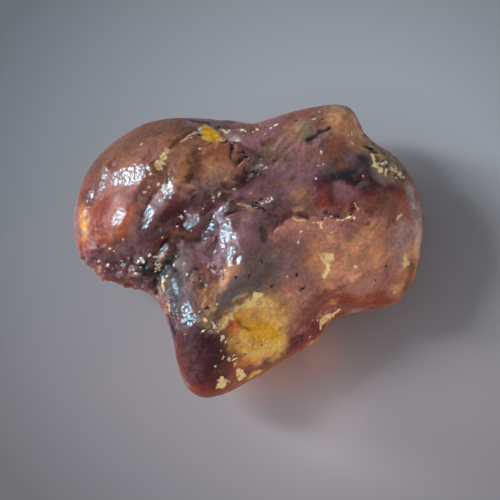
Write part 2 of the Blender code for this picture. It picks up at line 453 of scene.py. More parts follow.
# ---- painted colour: linear red, green and blue, and places in mm
PLUM = (0.225, 0.112, 0.14)
# Mauve: the amber's own tone with a painted sheen, the bluish reflection of the room, mixed in.
MAUVE_AND_SHEEN = (0.295, 0.152, 0.162)
# A painted sheen: the pale, greyish reflection of the bluish room and window, laid also where the skin
# lies in shade to lighten it.
PAINTED_SHEEN = (0.44, 0.29, 0.29)
BROWN = (0.3, 0.115, 0.058)
BARK = (0.16, 0.065, 0.04)
UMBER = (0.17, 0.065, 0.035)
SALMON = (0.57, 0.24, 0.17)
PINK = (0.47, 0.21, 0.17)
ORANGE = (0.8, 0.17, 0.015)
RUST = (0.32, 0.055, 0.015)
OCHRE = (0.6, 0.31, 0.145)
GOLD = (1.0, 0.62, 0.18)
YELLOW = (1.0, 0.53, 0.012)
LIGHT = (0.78, 0.4, 0.2)
WINE = (0.1, 0.012, 0.016)
CLARET = (0.18, 0.036, 0.042)
SMOKE = (0.17, 0.135, 0.135)
OLIVE = (0.25, 0.18, 0.1)
SOOT = (0.012, 0.008, 0.018)
CREAM = (1.0, 0.77, 0.38)
HONEY = (0.8, 0.3, 0.05)
# A painted white sheen: the reflection along the right rim and the glints by the groove's upper end.
PAINTED_WHITE_SHEEN = (0.95, 0.9, 0.9)
# A painted glow of the light let through the thin edge, where the skin faces sideways.
PAINTED_EDGE_GLOW = (0.3, 0.11, 0.075)
# The colour of the painted glints, bright specks that stand for tiny highlights.
PAINTED_GLINT = (1.0, 0.88, 0.7)
# Over a ground of mauve with its painted sheen: a colour, the noise where it sets in and is whole,
# the noise's size and seed, and how much it sways.
GROUND = ((BROWN, -0.35, 0.35, 5.0, 40, 0.4), (PLUM, 0.05, 0.4, 3.4, 41, 0.3))
FLANK = (8.0, 5.0)  # the heights between which the crust gives way to clearer amber, partly a painted glow of let-through light
FLANK_SWAY = 1.2
FLANK_TINT = (-0.3, 0.4)  # the noise between which rust gives way to salmon there
FLANK_WAVES = (2.6, 42)  # that noise's size and seed
EDGE_GLOW_FACING = (0.4, 0.05)  # how far up the skin faces where the painted glow of the thin rim sets in and is whole
EDGE_GLOW_SWAY, EDGE_GLOW_STRENGTH = 0.12, 0.5
# Painted light and shade from the relief: ridges painted paler and creases and pits painted darker, by
# how far the relief moved the skin out or in, up to these mm.
PAINTED_RIDGE_LIGHT = 0.5
RIDGE_LIGHT_MOST, HOLLOW_SHADE_MOST = 0.5, 0.55
# Patches of colour, laid one over the other: colour, reach, softness of the edge from 0 to 1,
# strength, and the pixels that the patch runs through.
PATCHES = [
    # the large dome at the left
    (BARK, 3.2, 0.8, 0.95, 100, 160, 125, 143, 150, 130, 180, 122),
    (SMOKE, 0.8, 0.8, 0.7, 123, 147, 127, 143),
    (CLARET, 1.6, 0.8, 0.7, 88, 190, 98, 182, 104, 200),
    (SALMON, 2.0, 0.8, 0.45, 112, 190, 128, 192, 140, 186),
    (CLARET, 1.3, 0.8, 0.6, 94, 214, 98, 228),
    (RUST, 1.3, 0.8, 0.7, 101, 206, 106, 222, 110, 236),
    (PINK, 1.3, 0.7, 0.7, 112, 222, 116, 232, 126, 206),
    (ORANGE, 0.9, 0.7, 0.5, 124, 232, 131, 222, 138, 211),
    (RUST, 1.4, 0.8, 0.6, 84, 240, 88, 252, 94, 262),
    (RUST, 1.2, 0.8, 0.6, 88, 240, 98, 250, 98, 262),
    (HONEY, 0.9, 0.8, 0.55, 83, 214, 84, 234),
    (YELLOW, 0.35, 0.8, 0.9, 84, 224, 85, 231),
    (BROWN, 2.4, 0.9, 0.6, 112, 164, 134, 156, 152, 160),
    # the inner dome
    (BROWN, 2.6, 0.8, 0.8, 166, 178, 182, 160, 190, 150),
    (MAUVE_AND_SHEEN, 1.8, 0.9, 0.3, 168, 186, 182, 180, 178, 166),
    # Ochre on the inner dome's right flank: its own colour, and painted light over the shade that falls
    # there.
    (OCHRE, 1.8, 0.8, 0.8, 190, 176, 206, 170, 222, 172),
    (MAUVE_AND_SHEEN, 1.8, 0.8, 0.6, 192, 190, 178, 200, 160, 210),
    (BROWN, 2.4, 0.8, 0.95, 200, 146, 214, 156, 222, 166),
    (CLARET, 1.6, 0.8, 0.8, 150, 232, 166, 214, 184, 206),
    (SMOKE, 1.0, 0.7, 0.8, 202, 188, 210, 184, 216, 180),
    (SOOT, 0.25, 0.5, 0.9, 209, 181, 215, 177, 221, 176),
    # the band along the top
    (UMBER, 1.2, 0.8, 0.8, 158, 122, 180, 118, 222, 122),
    (PLUM, 2.6, 0.9, 0.6, 228, 128, 250, 134, 280, 128),
    # the groove and what lies beside it
    (WINE, 1.5, 0.7, 0.9, 136, 256, 156, 231, 178, 215, 200, 206, 216, 200),
    (MAUVE_AND_SHEEN, 1.6, 0.9, 0.9, 194, 194, 210, 188, 228, 180),
    (SOOT, 0.55, 0.7, 0.8, 184, 226, 190, 228),
    (PLUM, 2.2, 0.9, 0.7, 244, 176, 262, 170, 280, 180),
    (MAUVE_AND_SHEEN, 2.2, 0.9, 0.85, 192, 250, 206, 246, 200, 260),
    (WINE, 0.35, 0.7, 0.9, 178, 239, 200, 240, 213, 232, 222, 222),
    (UMBER, 1.0, 0.8, 0.7, 163, 250, 170, 244, 182, 236),
    (OCHRE, 0.45, 0.6, 0.8, 159, 228, 164, 226),
    # painted sheen that lightens the crease between the lobe and the inner dome, where shade falls
    (PAINTED_SHEEN, 1.1, 0.8, 0.7, 140, 234, 148, 220, 158, 206),
    # the crumbled lower left
    (PLUM, 2.4, 0.7, 0.9, 104, 266, 122, 268, 140, 262),
    (SOOT, 1.1, 0.6, 1.0, 140, 268, 153, 275),
    (SOOT, 0.6, 0.7, 0.8, 170, 268, 174, 272),
    (SMOKE, 1.3, 0.8, 0.7, 140, 276, 160, 272, 176, 290),
    (RUST, 0.6, 0.8, 0.7, 100, 276, 112, 281, 126, 284),
    # the middle
    (PLUM, 3.6, 0.9, 0.95, 236, 220, 248, 248, 230, 256),
    (MAUVE_AND_SHEEN, 3.0, 0.9, 0.6, 276, 196, 300, 170, 310, 150),
    (OCHRE, 0.7, 0.7, 0.9, 241, 216, 247, 209),
    (OLIVE, 1.5, 0.9, 0.7, 262, 160, 276, 154),
    (SOOT, 0.18, 0.6, 0.9, 267, 166, 273, 161, 281, 155),
    (MAUVE_AND_SHEEN, 1.8, 0.9, 0.7, 256, 240, 272, 246),
    (SMOKE, 2.4, 0.7, 0.95, 228, 290, 244, 276, 264, 262, 292, 257),
    (BROWN, 1.0, 0.8, 0.8, 200, 284, 190, 290, 206, 270),
    (BROWN, 0.9, 0.8, 0.7, 204, 303, 209, 294, 219, 286, 225, 278, 233, 268),
    (OLIVE, 1.0, 0.8, 0.8, 206, 322, 216, 312, 228, 306),
    (SMOKE, 1.3, 0.7, 0.95, 224, 304, 238, 298, 246, 288),
    # the knob at the top right
    (BARK, 2.0, 0.9, 0.8, 300, 118, 320, 112, 340, 104),
    (OCHRE, 2.0, 0.8, 0.9, 340, 118, 352, 124, 356, 134),
    (LIGHT, 1.3, 0.8, 0.7, 346, 116, 354, 126),
    (OLIVE, 0.7, 0.8, 0.7, 336, 107, 350, 109),
    (OLIVE, 1.2, 0.8, 0.8, 298, 128, 306, 130),
    (BROWN, 1.4, 0.8, 0.7, 332, 144, 334, 160),
    # the dark cloud and the flake beside it
    (SMOKE, 1.3, 0.8, 0.9, 366, 134, 378, 142, 388, 150),
    (OLIVE, 1.4, 0.8, 0.9, 388, 156, 398, 168),
    (PLUM, 2.0, 0.8, 0.9, 328, 182, 344, 178, 362, 166),
    (SMOKE, 2.2, 0.8, 0.95, 346, 170, 362, 176, 378, 178, 398, 182),
    (SOOT, 1.2, 0.8, 1.0, 329, 179, 340, 174, 352, 177),
    (SOOT, 0.6, 0.8, 0.8, 363, 158, 368, 172, 378, 183),
    (OLIVE, 0.8, 0.8, 0.9, 388, 166, 400, 178),
    # the right body
    (CLARET, 2.4, 0.8, 0.8, 338, 196, 350, 204, 334, 208),
    (WINE, 1.9, 0.7, 0.95, 362, 193, 382, 196, 398, 195),
    (RUST, 1.2, 0.8, 0.9, 404, 194, 408, 208, 409, 220),
    (PINK, 3.2, 0.8, 0.75, 290, 232, 304, 246, 316, 232),
    (PINK, 4.0, 0.8, 0.95, 360, 240, 390, 236, 390, 262, 360, 276),
    (PINK, 3.0, 0.9, 0.9, 300, 300, 324, 286, 350, 284),
    (LIGHT, 2.6, 0.9, 0.75, 334, 262, 350, 256, 372, 244),
    (OCHRE, 1.2, 0.8, 0.7, 300, 198, 306, 206),
    # A painted sheen and white reflection along the right rim.
    (PAINTED_SHEEN, 1.6, 0.9, 0.8, 400, 236, 410, 246, 406, 258),
    (PAINTED_WHITE_SHEEN, 0.9, 0.9, 0.3, 410, 190, 416, 208, 419, 228, 418, 246),
    (LIGHT, 1.4, 0.9, 0.7, 414, 254, 410, 272),
    (OCHRE, 0.8, 0.8, 0.85, 394, 292, 402, 286),
    (RUST, 1.2, 0.8, 0.85, 340, 300, 362, 300, 386, 300),
    # A painted highlight on the lit lower lip of the layer crack.
    (LIGHT, 0.6, 0.9, 0.3, 284, 226, 298, 222, 312, 224, 322, 226),
    (PLUM, 1.0, 0.9, 0.6, 276, 216, 290, 207, 306, 208),
    # the golden window, the low edge and the leg
    (CLARET, 2.2, 0.9, 0.7, 302, 330, 312, 322, 290, 344),
    (GOLD, 2.3, 0.9, 0.95, 265, 310, 263, 322, 262, 337),
    (OCHRE, 1.3, 0.9, 0.75, 256, 308, 266, 303, 277, 312),
    (HONEY, 1.0, 0.9, 0.8, 232, 322, 239, 330, 240, 340),
    (OCHRE, 1.0, 0.9, 0.7, 284, 306, 288, 320, 284, 336),
    (ORANGE, 0.8, 0.9, 0.5, 232, 328, 238, 340, 246, 348),
    (GOLD, 1.1, 0.8, 0.6, 236, 348, 258, 356, 280, 350),
    (OCHRE, 0.9, 0.8, 0.6, 206, 324, 216, 330, 230, 340),
    (WINE, 3.0, 0.7, 1.0, 194, 342, 198, 358, 205, 374),
    (WINE, 0.8, 0.8, 0.6, 172, 324, 176, 350, 180, 374),
    (RUST, 1.2, 0.8, 0.6, 230, 358, 244, 366),
    (HONEY, 0.7, 0.9, 0.6, 240, 362, 256, 358, 274, 350),
    (RUST, 0.7, 0.9, 0.6, 192, 388, 208, 392, 226, 387, 242, 378),
    (BROWN, 1.0, 0.8, 0.8, 232, 384, 246, 376, 262, 370, 284, 360),
    (SMOKE, 1.5, 0.8, 0.85, 170, 262, 180, 276, 184, 298),
]
# Mottled places: the half width, how many spots, their colours and the line's pixels.
MOTTLES = [
    (2.4, 80, (PAINTED_SHEEN, SOOT, SMOKE, CLARET, MAUVE_AND_SHEEN, OCHRE), 96, 250, 112, 264, 136, 268, 152, 270),
    (1.6, 60, (SMOKE, SOOT, UMBER, PLUM, SOOT), 152, 264, 170, 286, 182, 316),
    (2.2, 40, (MAUVE_AND_SHEEN, UMBER, SMOKE, PLUM), 190, 262, 210, 276, 200, 298),
    (1.5, 60, (WINE, SOOT, CLARET, WINE), 140, 250, 170, 222, 208, 204, 240, 184),
    (2.6, 30, (MAUVE_AND_SHEEN, BROWN, OCHRE, UMBER), 176, 172, 200, 160, 214, 176),
    (2.2, 30, (BARK, UMBER, BROWN, OLIVE), 110, 150, 140, 134, 180, 124),
    (2.6, 50, (PLUM, MAUVE_AND_SHEEN, UMBER, CLARET, SMOKE), 240, 176, 262, 190, 250, 212),
    (3.2, 50, (MAUVE_AND_SHEEN, PLUM, UMBER, BROWN), 276, 130, 300, 150, 310, 178),
    (2.2, 34, (OLIVE, UMBER, BROWN, OCHRE), 300, 122, 330, 116, 350, 120),
    (1.5, 40, (OLIVE, OCHRE, SOOT, SMOKE, CREAM), 366, 136, 384, 156, 398, 174),
    (1.8, 40, (SOOT, SMOKE, SOOT, WINE), 340, 176, 356, 170, 376, 180),
    (3.4, 40, (PINK, LIGHT, SALMON, PINK), 300, 236, 330, 250, 370, 250),
    (2.0, 30, (CLARET, WINE, RUST), 330, 196, 352, 206, 384, 210),
    (2.2, 50, (GOLD, CREAM, YELLOW, GOLD, OCHRE), 252, 304, 264, 318, 266, 336),
    (1.0, 16, (BROWN, ORANGE, GOLD, CREAM), 228, 322, 236, 336),
    (1.2, 20, (OLIVE, OCHRE, UMBER, CREAM), 206, 322, 220, 316),
    (2.2, 30, (SMOKE, UMBER, PLUM, SMOKE), 250, 262, 276, 262, 240, 284),
    (2.2, 44, (WINE, CLARET, WINE, UMBER), 196, 344, 204, 372, 214, 380),
    (2.0, 34, (CLARET, SALMON, RUST, BROWN), 296, 330, 320, 306, 360, 296),
]
MOTTLE_SEED = 31
# How many spots are scattered over the low flanks and the underside, and their colours.
FLANK_MOTTLE = (320, (UMBER, CLARET, SALMON, BROWN, SMOKE, GOLD, RUST, PLUM, OCHRE))
SPOT_SWAY = 0.45
SPOT_RADII = (0.15, 0.5)
SPOT_STRENGTHS = (0.3, 0.75)
SPOT_EDGE = 0.4
# Crisp marks over the mottling, given like the patches.
LINES = [
    (CLARET, 0.9, 0.8, 0.6, 140, 252, 156, 232, 176, 216, 198, 206, 212, 200),
    (SOOT, 0.2, 0.8, 0.6, 150, 240, 164, 228, 180, 218),
    (SOOT, 0.25, 0.7, 0.7, 176, 238, 190, 240, 206, 236, 222, 222),
    (CLARET, 0.16, 0.8, 0.8, 170, 210, 186, 200, 204, 190),
    (RUST, 1.0, 0.8, 0.7, 96, 208, 97, 224, 99, 236),
    (PAINTED_SHEEN, 0.6, 0.8, 0.7, 231, 137, 236, 149),
    # Painted light over the inner dome's right flank, where shade falls: ochre, and sheen below.
    (OCHRE, 1.5, 0.9, 0.55, 190, 178, 206, 171, 222, 173),
    (PAINTED_SHEEN, 1.3, 0.9, 0.4, 196, 192, 214, 184, 230, 176),
    (MAUVE_AND_SHEEN, 2.0, 0.9, 0.5, 244, 228, 250, 246, 240, 262),
    (PLUM, 0.8, 0.9, 0.6, 343, 226, 349, 234),
    (SMOKE, 1.4, 0.9, 0.5, 280, 258, 290, 256),
    (RUST, 0.9, 0.9, 0.6, 214, 149, 223, 157, 226, 166),
    (CLARET, 0.9, 0.8, 0.8, 288, 347, 304, 338, 322, 328),
    (CLARET, 0.8, 0.8, 0.6, 345, 304, 366, 306, 388, 302),
    (GOLD, 0.7, 0.9, 0.6, 250, 352, 266, 353, 282, 346),
    # Painted sheen and white glints where the groove ends, over the shade that falls there.
    (PAINTED_SHEEN, 0.8, 0.8, 0.7, 243, 160, 253, 168),
    (PAINTED_WHITE_SHEEN, 0.14, 0.6, 0.8, 239, 174, 248, 163),
    (PAINTED_WHITE_SHEEN, 0.14, 0.6, 0.8, 246, 180, 258, 166),
    (PAINTED_WHITE_SHEEN, 0.22, 0.6, 0.9, 254, 170, 261, 166),
    (PAINTED_WHITE_SHEEN, 0.12, 0.6, 0.8, 231, 148, 238, 139),
    (PAINTED_WHITE_SHEEN, 0.12, 0.6, 0.7, 227, 186, 238, 177),
    (PAINTED_SHEEN, 0.6, 0.8, 0.35, 122, 252, 132, 244, 138, 234),
    (PAINTED_SHEEN, 0.7, 0.8, 0.5, 131, 228, 137, 214, 144, 203),
    (BROWN, 0.9, 0.8, 0.7, 333, 142, 334, 152, 340, 164),
    (BARK, 2.6, 0.9, 0.75, 104, 154, 128, 137, 160, 126, 186, 124),
    (UMBER, 0.9, 0.9, 0.45, 290, 118, 310, 110, 326, 106),
    (OCHRE, 1.3, 0.9, 0.75, 344, 118, 352, 124, 357, 134),
    (UMBER, 0.7, 0.8, 0.7, 412, 268, 410, 280, 404, 290),
    (WINE, 1.6, 0.9, 0.45, 112, 264, 130, 266, 150, 264),
    (SOOT, 0.9, 0.6, 1.0, 146, 270, 156, 272),
    (SOOT, 1.3, 0.9, 0.45, 164, 270, 174, 286, 180, 306),
    (SOOT, 2.0, 0.9, 0.35, 200, 340, 206, 356),
    (SMOKE, 0.8, 0.8, 0.8, 190, 123, 202, 122, 212, 125),
    (SOOT, 0.4, 0.7, 0.8, 194, 121, 207, 123),
    (PAINTED_WHITE_SHEEN, 0.5, 0.9, 0.35, 229, 146, 236, 139),
    (SOOT, 0.5, 0.7, 0.9, 168, 264, 176, 270),
    (SOOT, 0.4, 0.7, 0.9, 232, 154, 234, 164),
    (WINE, 0.3, 0.6, 1.0, 279, 225, 285, 217, 293, 213, 301, 213, 308, 217),
    (WINE, 0.3, 0.6, 0.95, 328, 213, 336, 216, 346, 214, 352, 210, 355, 205),
    (WINE, 0.3, 0.8, 0.7, 333, 186, 330, 196, 334, 206),
    (MAUVE_AND_SHEEN, 1.0, 0.7, 0.7, 342, 192, 350, 195),
    (UMBER, 1.0, 0.8, 0.5, 372, 208, 392, 208),
    (SOOT, 0.6, 0.8, 0.85, 334, 178, 342, 174, 350, 178),
    (PAINTED_SHEEN, 0.7, 0.8, 0.4, 376, 174, 386, 178, 396, 180),
    (OLIVE, 0.8, 0.9, 0.6, 380, 172, 392, 176),
    (SOOT, 0.28, 0.6, 1.0, 366, 147, 372, 149, 376, 152),
    (SOOT, 0.32, 0.8, 1.0, 307, 139, 313, 137, 320, 133),
    (SOOT, 0.22, 0.8, 1.0, 319, 133, 325, 130, 329, 127),
    (SOOT, 0.2, 0.8, 0.9, 252, 205, 264, 210, 276, 215),
    (SOOT, 0.5, 0.8, 0.7, 262, 230, 266, 238),
    (GOLD, 0.9, 0.6, 0.7, 209, 131, 211, 138),
    (YELLOW, 0.75, 0.6, 1.0, 210, 132, 211, 138),
    (GOLD, 1.4, 0.9, 0.7, 258, 308, 264, 314, 272, 318),
    (YELLOW, 1.3, 0.9, 0.9, 256, 331, 264, 338, 271, 333),
    (GOLD, 0.35, 0.8, 0.8, 242, 334, 250, 342, 260, 347, 272, 343),
    (CREAM, 0.5, 0.9, 0.5, 252, 302, 260, 306, 270, 304),
    (SMOKE, 0.7, 0.8, 0.8, 240, 290, 246, 284, 252, 288),
    (RUST, 0.16, 0.8, 0.8, 234, 316, 240, 324, 250, 330),
    (OCHRE, 0.65, 0.9, 0.75, 204, 303, 209, 294, 219, 286, 225, 278, 233, 268),
    (SOOT, 0.35, 0.6, 0.95, 168, 315, 172, 325, 175, 335),
    (LIGHT, 0.13, 0.7, 0.9, 163, 284, 167, 298, 171, 311),
]
PATCH_EDGE = 0.7  # how much of the softness above is used
# The noise that sways a patch and the finer noise that frays it, and how much of each: the least,
# and how much more for a wider patch.
WARP, FINE = (1, 1.7, 20), (1, 0.55, 30)
SWAY, FRAY = (0.05, 0.55), (0.08, 0.5)
DRAWN_OUT = 0.75  # how far the spots and the specks are drawn out, from 0 to 1


def blend(under, mask, over):
    """Colours with others laid over them, as far as the mask says at each point."""
    mask = mask[:, None]
    return (1 - mask) * under + mask * over


def lay(patches, points, warp, fine, places, colour):
    """The colours after the patches are laid over them, each with a swaying, ragged edge."""
    for over, reach, softness, strength, *pixels in patches:
        sway = min(1.0, SWAY[0] + SWAY[1] * reach)
        away = places.away(points + warp * sway + fine * (FRAY[0] + FRAY[1] * sway), pixels)
        colour = blend(colour, strength * within(reach, softness * PATCH_EDGE, away), over)
    return colour


def drawn_out(points, centre, turn):
    """Each point's distance to a centre, shortened along the turn so that a spot is long."""
    offset = points - centre
    along = offset @ np.array([math.cos(turn), math.sin(turn), 0.0])
    return np.sqrt(np.maximum((offset**2).sum(1) - DRAWN_OUT * along**2, 0))


def mottle(points, warp, places, colour):
    """Small uneven spots of other colours, drawn out along the flow."""
    random = np.random.default_rng(MOTTLE_SEED)
    swayed = points + SPOT_SWAY * warp
    spread = [(points[points[:, 2] < FLANK[0]], *FLANK_MOTTLE)]
    for reach, count, colours, *pixels in MOTTLES:
        spread.append((points[places.away(points, pixels) < reach], count, colours))
    for near, count, colours in spread:
        for _ in range(count):
            centre = near[random.integers(len(near))]
            radius = random.uniform(*SPOT_RADII)
            strength = random.uniform(*SPOT_STRENGTHS)
            over = colours[random.integers(len(colours))]
            away = drawn_out(swayed, centre, FLOW_TURN)
            colour = blend(colour, strength * within(radius, SPOT_EDGE, away), over)
    return colour


# Flakes and veins with sharp, broken edges: reach and pixels.
FLAKES = [
    (0.42, 157, 170, 160, 163), (0.3, 162, 159, 168, 149), (0.16, 162, 238, 169, 236),
    (0.12, 158, 230, 161, 227), (0.16, 182, 141, 190, 135), (0.2, 192, 134, 200, 131),
    (0.2, 222, 130, 227, 133), (0.12, 243, 130, 245, 132), (0.13, 256, 129, 258, 130),
    (0.12, 243, 171, 249, 160), (0.1, 240, 165, 241, 159), (0.15, 257, 166, 260, 171),
    (0.1, 250, 177, 254, 171), (0.22, 163, 280, 164, 286), (0.12, 163, 288, 167, 300, 170, 311),
    (0.24, 372, 155, 375, 161), (0.45, 377, 164, 380, 170), (0.15, 385, 174, 386, 177),
    # The cream lines at 337, 219 here and at 292, 219 and 312, 222 below run along the cracks: partly
    # cream, partly a painted highlight on their lit lips.
    (0.2, 391, 168, 396, 170), (0.16, 398, 174, 402, 178), (0.13, 337, 219, 344, 218, 355, 217),
    (0.13, 355, 204, 358, 210), (0.09, 292, 219, 298, 220, 306, 221), (0.14, 312, 222, 322, 222),
    (0.48, 326, 256, 328, 264), (0.15, 331, 255, 333, 258), (0.26, 328, 264, 327, 272, 324, 276),
    (0.12, 331, 236, 332, 232, 336, 230), (0.14, 320, 224, 322, 229), (0.16, 404, 256, 405, 260),
    (0.4, 405, 258, 407, 264), (0.14, 397, 219, 401, 215), (0.55, 322, 320, 330, 317),
    (0.22, 332, 315, 340, 309), (0.2, 320, 324, 321, 328), (0.4, 254, 298, 259, 294),
    (0.14, 245, 342, 252, 346, 258, 349), (0.6, 220, 382, 224, 384), (0.45, 238, 372, 242, 377),
    (0.25, 231, 313, 233, 318), (0.14, 276, 345, 280, 341), (0.2, 204, 318, 206, 322),
    (0.12, 352, 132, 352, 136),
]
# Painted glints, bright specks that stand for tiny highlights, and dark dots: pixel and size.
PAINTED_GLINT_SPOTS = [
    (229, 359, 0.2), (235, 364, 0.18), (193, 273, 0.15), (251, 193, 0.12), (262, 203, 0.2),
    (270, 200, 0.14), (243, 205, 0.13), (250, 207, 0.12), (255, 207, 0.12), (255, 201, 0.1),
    (301, 195, 0.16), (328, 213, 0.2), (319, 112, 0.14), (314, 119, 0.12), (321, 152, 0.14),
    (318, 166, 0.1), (323, 164, 0.1), (315, 188, 0.13), (356, 187, 0.1), (301, 232, 0.15),
    (355, 267, 0.2), (334, 242, 0.13), (190, 206, 0.1), (188, 285, 0.13), (276, 125, 0.16),
    (256, 167, 0.2), (260, 170, 0.14), (246, 196, 0.08), (224, 357, 0.1), (420, 247, 0.2),
    (165, 243, 0.14), (186, 284, 0.12), (212, 303, 0.12), (217, 304, 0.12), (211, 332, 0.13),
    (217, 332, 0.12), (394, 292, 0.14), (396, 287, 0.12), (310, 337, 0.1), (305, 332, 0.1),
    (290, 279, 0.1), (185, 335, 0.1),
]
DARK_DOTS = [
    (297, 275, 0.16), (372, 148, 0.2), (376, 143, 0.14), (302, 289, 0.2), (236, 277, 0.16),
    (249, 276, 0.12), (148, 193, 0.14), (214, 146, 0.1), (254, 206, 0.2), (264, 208, 0.15),
    (277, 216, 0.14), (206, 273, 0.14), (386, 266, 0.12), (337, 307, 0.12), (302, 336, 0.16),
    (272, 286, 0.16), (127, 148, 0.15), (262, 262, 0.14),
]
PAINTED_GLINT_SIZE = 0.75  # how much of the sizes above the painted glints take
FLAKE_FRAY, FLAKE_STEP_PX = 1.1, 3
# Gritty places: the half width, how many painted glints and dark specks, and the line's pixels.
GLINTS_AND_GRIT = [
    (1.7, 14, 16, 106, 258, 120, 264, 138, 266, 152, 270), (1.4, 12, 14, 150, 262, 168, 284, 178, 318),
    (0.7, 8, 4, 148, 260, 160, 266, 176, 262), (1.2, 8, 8, 182, 228, 206, 212, 236, 190),
    (1.1, 16, 3, 238, 162, 248, 168, 260, 168), (0.5, 5, 8, 238, 204, 252, 204, 268, 200),
    (1.6, 7, 5, 186, 272, 206, 276, 222, 262), (0.8, 8, 6, 204, 314, 214, 326, 224, 344),
    (0.9, 10, 6, 180, 142, 198, 133, 226, 131, 264, 129), (0.9, 16, 8, 382, 164, 398, 174),
    (0.7, 7, 3, 146, 190, 158, 176, 172, 190), (0.6, 7, 3, 276, 340, 250, 352, 226, 360),
    (0.4, 4, 4, 322, 216, 352, 218), (2.2, 3, 3, 300, 290, 330, 312, 296, 334),
]
GLINT_AND_GRIT_SIZES = (0.06, 0.1)  # the least, and how much more the biggest have
# Specks scattered at random, each a painted glint or a dark dot.
STRAY_GLINTS_AND_DOTS = 56
STRAY_SIZES = (0.06, 0.12)
STRAY_SEED = 23


def glints_and_dots(points, places):
    """Masks of the painted glints and of the dark specks: 1 at the middle of each and 0.5 at its edge.
    """
    random = np.random.default_rng(STRAY_SEED)
    spots = [(places.at(x, y), PAINTED_GLINT_SIZE * size, 1) for x, y, size in PAINTED_GLINT_SPOTS]
    spots += [(places.at(x, y), size, -1) for x, y, size in DARK_DOTS]
    for _ in range(STRAY_GLINTS_AND_DOTS):
        centre = points[random.integers(len(points))]
        spots.append((centre, random.uniform(*STRAY_SIZES), random.choice((-1, 1))))
    for reach, glint_count, dark, *pixels in GLINTS_AND_GRIT:
        near = points[places.away(points, pixels) < reach]
        for number in range(glint_count + dark):
            centre = near[random.integers(len(near))]
            size = GLINT_AND_GRIT_SIZES[0] + GLINT_AND_GRIT_SIZES[1] * random.random() ** 2
            spots.append((centre, size, 1 if number < glint_count else -1))
    masks = {1: np.zeros(len(points)), -1: np.zeros(len(points))}
    for centre, size, sign in spots:
        away = drawn_out(points, centre, random.uniform(0, math.pi))
        masks[sign] = np.maximum(masks[sign], 1 - away / (2 * size))
    return masks[1], masks[-1]


def paint(mesh, places, moved):
    """Store the skin's colour and the masks of its flakes, painted glints and dark specks at each
    point.
    """
    points = read_points(mesh)
    warp, fine = drift(points, *WARP), drift(points, *FINE)
    colour = MAUVE_AND_SHEEN
    for axis, (over, low, high, size, seed, sway) in enumerate(GROUND):
        mask = smooth_step(low, high, waves(points, size, seed) + sway * warp[:, axis])
        colour = blend(colour, mask, over)
    # The low flanks: clearer amber, painted lighter partly as a glow of the light let through.
    tint = smooth_step(*FLANK_TINT, waves(points, *FLANK_WAVES))
    flank = blend(RUST, tint, SALMON)
    colour = blend(colour, smooth_step(*FLANK, points[:, 2] + FLANK_SWAY * warp[:, 2]), flank)
    colour = lay(PATCHES, points, warp, fine, places, colour)
    colour = mottle(points, fine, places, colour)
    colour = lay(LINES, points, warp, fine, places, colour)
    # A painted glow along the thin edge, where the skin faces sideways.
    thin_edge_glow = smooth_step(*EDGE_GLOW_FACING, np.abs(read_normals(mesh)[:, 2]) + EDGE_GLOW_SWAY * fine[:, 2])
    colour = blend(colour, EDGE_GLOW_STRENGTH * thin_edge_glow, PAINTED_EDGE_GLOW)
    # Painted light on the ridges and painted shade in the creases and pits.
    lit_ridges, shaded_hollows = np.clip(moved, 0, RIDGE_LIGHT_MOST), np.clip(-moved, 0, HOLLOW_SHADE_MOST)
    colour *= (1 + PAINTED_RIDGE_LIGHT * lit_ridges - shaded_hollows)[:, None]
    flakes = np.zeros(len(points))
    for reach, *pixels in FLAKES:
        away = places.away(points + fine * (FLAKE_FRAY * reach), pixels, FLAKE_STEP_PX)
        flakes = np.maximum(flakes, 1 - away / (2 * reach))
    sparks, dots = glints_and_dots(points, places)
    store(mesh, "sparks", sparks)
    store(mesh, "flakes", flakes)
    store(mesh, "dots", dots)
    skin = mesh.attributes.new("skin", "FLOAT_COLOR", "POINT")
    skin.data.foreach_set("color", np.column_stack([colour, np.ones(len(points))]).ravel())


# ---- what is sealed inside
# Where each thing lies below the skin: pixel, depth, half length, half width and half thickness in
# mm, and the turn in degrees.
SEALED_FLAKES = [
    (222, 381, 0.5, 0.7, 0.5, 0.07, 20), (240, 373, 0.5, 0.5, 0.35, 0.06, 70),
    (257, 297, 0.5, 0.8, 0.4, 0.07, 10), (251, 346, 0.4, 0.8, 0.15, 0.06, -25),
    (162, 159, 0.5, 1.3, 0.35, 0.08, 60), (210, 134, 0.6, 0.9, 0.7, 0.12, 0),
    (378, 164, 0.5, 1.0, 0.35, 0.08, -60), (328, 262, 0.5, 1.2, 0.4, 0.07, 80),
    (84, 228, 0.6, 0.9, 0.5, 0.1, 80), (264, 325, 0.9, 1.8, 1.3, 0.15, 30),
    (247, 318, 1.2, 1.2, 0.9, 0.12, -20), (405, 260, 0.5, 0.5, 0.4, 0.07, 70),
    (330, 318, 0.5, 1.0, 0.4, 0.08, 25), (355, 250, 1.4, 1.6, 1.1, 0.1, 40),
    (214, 152, 1.1, 1.2, 0.9, 0.1, 60),
]
SEALED_DEBRIS = [
    (350, 175, 0.9, 1.3, 0.6, 0.4, -15), (368, 180, 0.8, 1.0, 0.5, 0.3, 10),
    (340, 178, 1.2, 0.9, 0.4, 0.3, 30), (318, 133, 0.6, 1.2, 0.25, 0.3, 28),
    (372, 150, 0.6, 0.5, 0.3, 0.25, 0), (148, 272, 0.8, 0.9, 0.5, 0.3, 30),
    (171, 325, 0.5, 1.2, 0.25, 0.3, -70), (200, 122, 0.6, 1.1, 0.4, 0.3, 5),
    (262, 270, 1.0, 1.3, 0.7, 0.3, 25), (240, 284, 0.9, 1.1, 0.5, 0.3, 30),
    (196, 345, 1.0, 1.4, 0.8, 0.4, 60), (274, 160, 0.5, 0.9, 0.15, 0.2, 42),
]
SEALED_SEED = 5
STRAY_BITS, BIT_DEPTHS, BIT_SIZES = 46, (0.7, 2.2), (0.15, 0.55)
